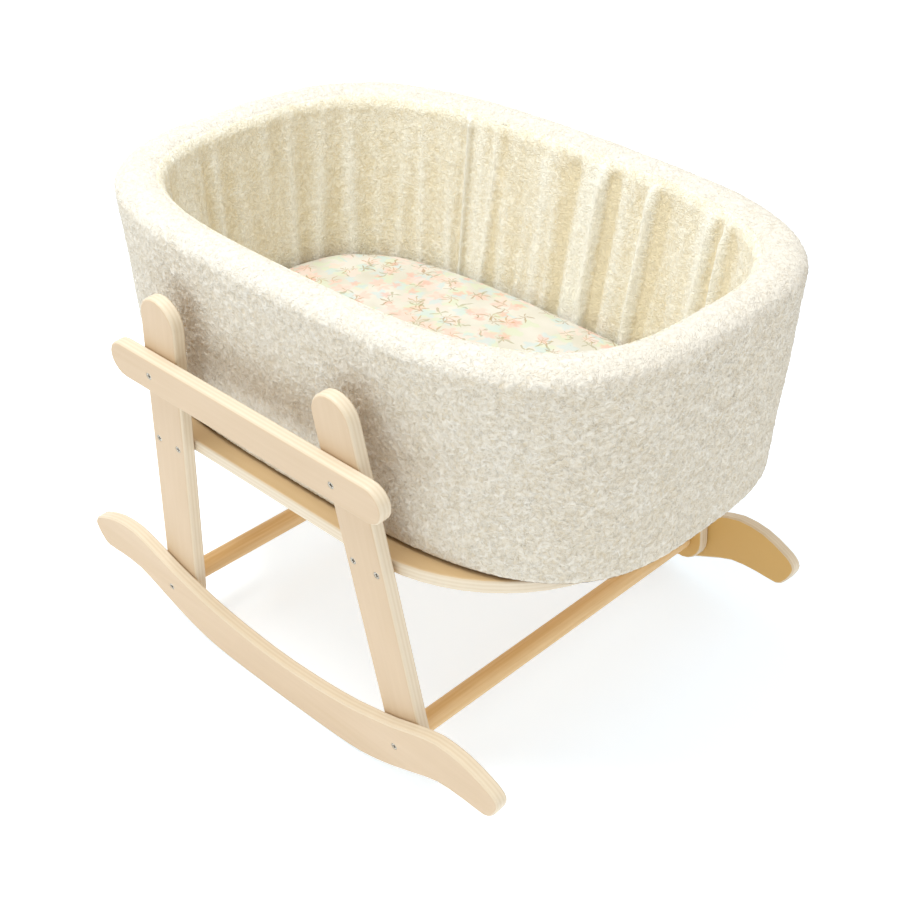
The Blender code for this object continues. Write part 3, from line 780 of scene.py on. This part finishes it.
flat_place = cotton.add("Mapping", {"Vector": wavy, "Scale": (1.0, 1.0, 0.0)}).outputs[0]

# %% [markdown]
# Each motif sits in its own cell of a Voronoi texture. The offset from the cell's middle is the motif's own
# little drawing board, and the cell's random colour says whether it is drawn and which way it is turned. A
# blossom is a round mask whose edge swells into petals, and a twig is a fan of thin bent strokes.

# %% Motifs
PETAL_SOFT, STROKE_SOFT = 0.0042, 0.0016
PETAL_DIP = 0.28
STROKE_BEND, STROKE_THIN, STROKE_UNEVEN = 22.0, 9.0, 0.35


def motif_cells(scale, seed_shift):
    """In each cell, the x and y from its middle, turned at random, and a random number to draw lots with."""
    moved = cotton.add("Mapping", {"Vector": flat_place, "Location": (seed_shift, 0.7 * seed_shift, 0.0)})
    cells = cotton.add("TexVoronoi", {"Vector": moved.outputs[0], "Scale": scale, "Randomness": 0.8})
    offset = cotton.add("VectorMath", {0: moved.outputs[0], 1: cells.outputs["Position"]},
                        operation="SUBTRACT").outputs[0]
    dice = cotton.add("SeparateColor", {0: cells.outputs["Color"]})
    spin = cotton.math("MULTIPLY", dice.outputs[0], 2 * pi)
    turned = cotton.add("VectorRotate", {"Vector": offset, "Angle": spin}, rotation_type="Z_AXIS")
    xy = cotton.add("SeparateXYZ", {0: turned.outputs[0]})
    return xy.outputs[0], xy.outputs[1], dice.outputs[1]


def distance(x, y):
    """How far a point is from the middle of its cell."""
    squares = cotton.math("ADD", cotton.math("MULTIPLY", x, x), cotton.math("MULTIPLY", y, y))
    return cotton.math("POWER", squares, 0.5)


def below(value, limit, soft):
    """1 where value is under limit, fading out over soft."""
    return cotton.add("MapRange", {0: value, 1: cotton.math("ADD", limit, soft), 2: limit}).outputs[0]


def blossom(scale, seed_shift, radius, petals, share):
    """A mask of rounded petals round the middle of some cells."""
    x, y, lot = motif_cells(scale, seed_shift)
    angle = cotton.math("ARCTAN2", y, x)
    lobes = cotton.math("COSINE", cotton.math("MULTIPLY", angle, petals))
    dip = PETAL_DIP * radius
    edge = cotton.math("ADD", radius - dip, cotton.math("MULTIPLY", lobes, dip))
    return cotton.math("MULTIPLY", below(distance(x, y), edge, PETAL_SOFT), below(lot, share, 0.01))


def twigs(scale, seed_shift, reach_out, strokes, share):
    """A mask of thin strokes fanning out from a point, in some cells."""
    x, y, lot = motif_cells(scale, seed_shift)
    reach = distance(x, y)
    bent = cotton.math("ADD", cotton.math("ARCTAN2", y, x), cotton.math("MULTIPLY", reach, STROKE_BEND))
    lobe = cotton.math("ABSOLUTE", cotton.math("COSINE", cotton.math("MULTIPLY", bent, strokes / 2)))
    uneven = cotton.math("ADD", 0.7, cotton.math("MULTIPLY", cotton.math("SINE", bent), STROKE_UNEVEN))
    spread = cotton.math("MULTIPLY", uneven, reach_out)
    edge = cotton.math("MULTIPLY", cotton.math("POWER", lobe, STROKE_THIN), spread)
    return cotton.math("MULTIPLY", below(reach, edge, STROKE_SOFT), below(lot, share, 0.01))


# %% Printed cotton finish
COTTON_PALE, COTTON_DEEP = (0.73, 0.69, 0.61), (0.63, 0.585, 0.48)
# Each layer of blossoms: its seed, tint, radius and petals. Each layer of twigs: its seed, tint and strokes.
BLOSSOMS = ((0.31, (0.62, 0.68, 0.46), 0.014, 3.0), (0.83, (0.52, 0.64, 0.66), 0.012, 4.0),
            (1.37, (0.84, 0.48, 0.38), 0.011, 5.0), (2.11, (0.86, 0.62, 0.54), 0.013, 5.0),
            (6.2, (0.80, 0.38, 0.28), 0.006, 5.0))
TWIGS = ((3.3, (0.36, 0.22, 0.08), 5.0), (4.7, (0.46, 0.30, 0.12), 7.0), (5.9, (0.38, 0.34, 0.18), 4.0))
BLOSSOM_CELLS, BLOSSOM_SHARE, BLOSSOM_INK = 25.0, 0.55, 0.52
TWIG_CELLS, TWIG_SHARE, TWIG_INK, TWIG_REACH = 24.0, 0.45, 0.65, 0.017
THREADS, THREAD_DEPTH = 500.0, 0.00012

wash = cotton.noise(flat_place, 14.0, 2.0)
print_colour = cotton.ramp(wash, COTTON_PALE, COTTON_DEEP, 0.35, 0.65)
for seed_shift, tint, radius, petals in BLOSSOMS:
    mask = blossom(BLOSSOM_CELLS, seed_shift, radius, petals, BLOSSOM_SHARE)
    print_colour = cotton.mix(cotton.math("MULTIPLY", mask, BLOSSOM_INK), print_colour, tint)
for seed_shift, tint, strokes in TWIGS:
    mask = twigs(TWIG_CELLS, seed_shift, TWIG_REACH, strokes, TWIG_SHARE)
    print_colour = cotton.mix(cotton.math("MULTIPLY", mask, TWIG_INK), print_colour, tint)
cotton.colour(print_colour)
threads = [cotton.add("TexWave", {"Vector": cotton.place(), "Scale": THREADS}, bands_direction=way)
           for way in ("X", "Y")]
weave = cotton.math("ADD", threads[0].outputs["Fac"], threads[1].outputs["Fac"])
cotton.bump(weave, THREAD_DEPTH, 0.5)
cotton.shader.inputs["Sheen Weight"].default_value = 0.15
mattress.data.materials.clear()
mattress.data.materials.append(cotton.mat)
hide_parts("mattress")
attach(mattress, "mattress")
print("print layers:", len(BLOSSOMS), "of blossoms,", len(TWIGS), "of twigs")

# %% [markdown]
# ## What stays from the frame
# The wadding ring and the floor panel are hidden inside the basket. They stay as packed, with a finish each,
# and show only if the basket is opened.

# %% Hidden layers
WADDING_WHITE, WADDING_GREY = (0.90, 0.89, 0.85), (0.80, 0.79, 0.74)
PANEL_LIGHT, PANEL_DARK = (0.50, 0.37, 0.23), (0.38, 0.27, 0.16)

wadding = Finish("white wadding", 1.0)
tufts = wadding.noise(wadding.place(), 120.0, 4.0)
wadding.colour(wadding.ramp(tufts, WADDING_WHITE, WADDING_GREY))
panel = Finish("brown panel", 0.7)
flecks = panel.noise(panel.place(), 400.0, 3.0)
panel.colour(panel.ramp(flecks, PANEL_LIGHT, PANEL_DARK))
for node, finish in (("wall_pad", wadding), ("basket_floor", panel)):
    for material_slot in frame["nodes"][node].material_slots:
        material_slot.material = finish.mat
    print(node, "gets", finish.mat.name)

# %% [markdown]
# ## Floor and light
# A plain white floor, a white sky for an even, bright light, and one large soft lamp high above the near left
# corner, which brightens the rim and the tops of the boards and leaves faint shadows on the floor. The floor
# glows faintly and coolly, so that it stays white under the warm sky. It is wide enough to fill a low view.

# %% Floor
FLOOR_SIZE = 60.0
FLOOR_WHITE, FLOOR_GLOW, GLOW_STRENGTH = (0.94, 0.94, 0.94, 1.0), (0.55, 0.77, 1.0, 1.0), 0.46

bpy.ops.object.select_all(action="DESELECT")
bpy.ops.mesh.primitive_plane_add(size=FLOOR_SIZE, location=(0, 0, 0))
floor = bpy.context.object
floor.name = "studio_floor"
paper = Finish("white paper", 0.9)
paper.shader.inputs["Base Color"].default_value = FLOOR_WHITE
paper.shader.inputs["Emission Color"].default_value = FLOOR_GLOW
paper.shader.inputs["Emission Strength"].default_value = GLOW_STRENGTH
paper.shader.inputs["Specular IOR Level"].default_value = 0.0
floor.data.materials.append(paper.mat)
floor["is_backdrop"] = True
print(floor.name, FLOOR_SIZE, "m wide")

# %% Light
SKY, SKY_STRENGTH = (1.0, 0.975, 0.925, 1.0), 0.88
LAMP_TINT, LAMP_SIZE, LAMP_WATTS = (0.88, 0.95, 1.0), 1.3, 65.0
LAMP_PLACE, LAMP_TARGET = Vector((-0.5, -0.75, 3.1)), Vector((0, 0, 0.4))

world = bpy.data.worlds.new("white sky")
bpy.context.scene.world = world
world.use_nodes = True
sky = world.node_tree.nodes["Background"]
sky.inputs["Color"].default_value = SKY
sky.inputs["Strength"].default_value = SKY_STRENGTH

lamp = bpy.data.lights.new("overhead", "AREA")
lamp.color = LAMP_TINT
lamp.shape, lamp.size, lamp.energy = "SQUARE", LAMP_SIZE, LAMP_WATTS
holder = bpy.data.objects.new("overhead", lamp)
bpy.context.scene.collection.objects.link(holder)
holder.location = LAMP_PLACE
holder.rotation_euler = (LAMP_TARGET - LAMP_PLACE).to_track_quat("-Z", "Y").to_euler()
bpy.context.scene.view_settings.view_transform = "Standard"
print("lamp", LAMP_WATTS, "W, sky", SKY_STRENGTH)

# %% Measure and finish
low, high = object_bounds()
print("visual size:", [round(x, 3) for x in high - low])
